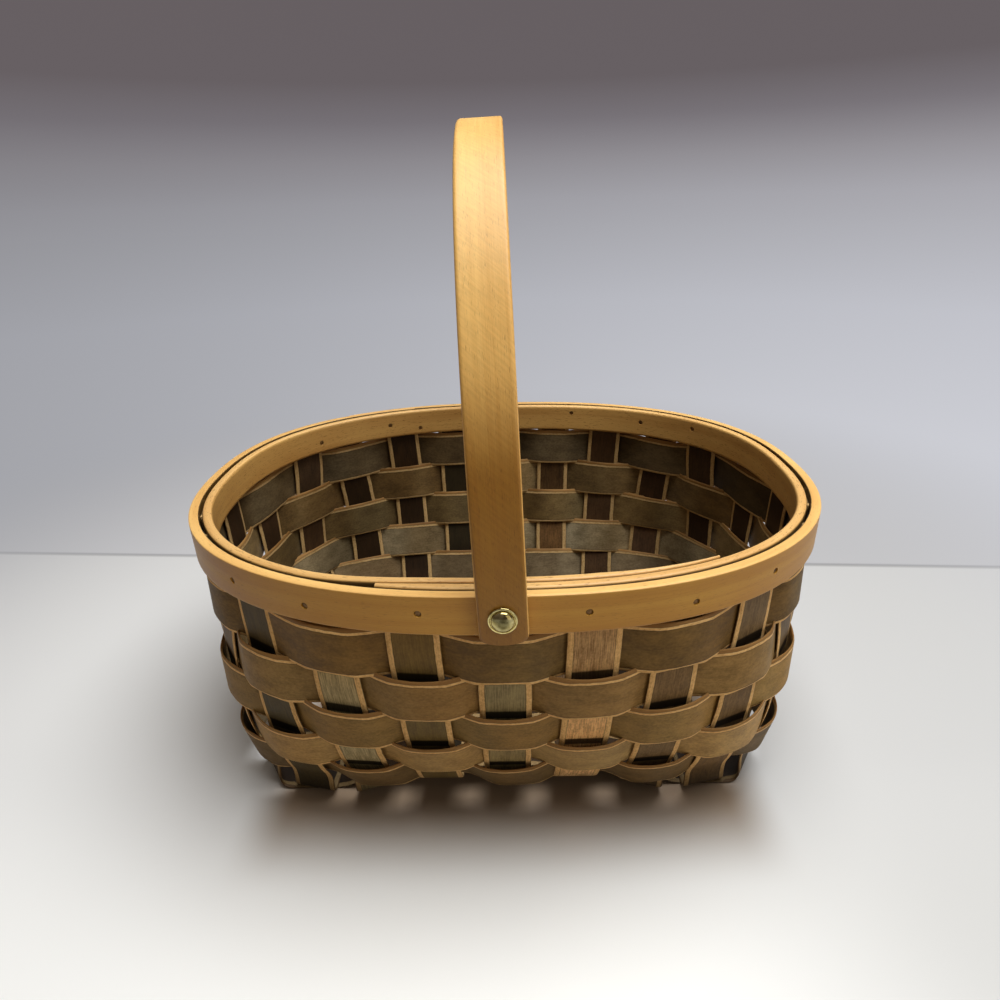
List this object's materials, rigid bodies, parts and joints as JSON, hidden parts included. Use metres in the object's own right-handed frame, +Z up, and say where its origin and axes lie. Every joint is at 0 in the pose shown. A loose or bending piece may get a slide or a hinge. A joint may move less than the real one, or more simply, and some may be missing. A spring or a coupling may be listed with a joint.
{
  "type": "splint basket",
  "caption": "Oval splint basket woven from flat wood strips, bound between two bent hoops, with a riveted swing handle for carrying.",
  "frame": {"origin": "on the surface it stands on, at the middle of the base", "axes": "+Z up, X along the basket's length, Y across it through both rivets, the pictured front at -Y"},
  "size_m": [0.356, 0.3034, 0.3504],
  "materials": {
    "upright": "stained grey brown, natural edges",
    "weaver": "stained brown, natural edges",
    "hoop": "honey coloured, satin",
    "handle": "honey coloured, satin",
    "brass": "satin"
  },
  "bodies": {
    "basket": {"cross_splint_a": "upright", "cross_splint_b": "upright", "cross_splint_c": "upright", "cross_splint_d": "upright", "cross_splint_e": "upright", "cross_splint_f": "upright", "cross_splint_g": "upright", "long_splint_1": "upright", "long_splint_2": "upright", "long_splint_3": "upright", "long_splint_4": "upright", "long_splint_5": "upright", "weaver_row_1": "weaver", "weaver_row_2": "weaver", "weaver_row_3": "weaver", "weaver_row_4": "weaver", "weaver_row_5": "weaver", "outer_hoop": "hoop", "inner_hoop": "hoop", "rivet_front": "brass", "rivet_burr_front": "brass", "rivet_back": "brass", "rivet_burr_back": "brass"},
    "bail": {"handle": "handle"}
  },
  "joints": [
    {"name": "handle_swing", "type": "hinge", "parent": "basket", "child": "bail", "pos_m": [0, 0, 0.1574], "axis": [0, 1, 0], "range_deg": [-88, 92]}
  ]
}
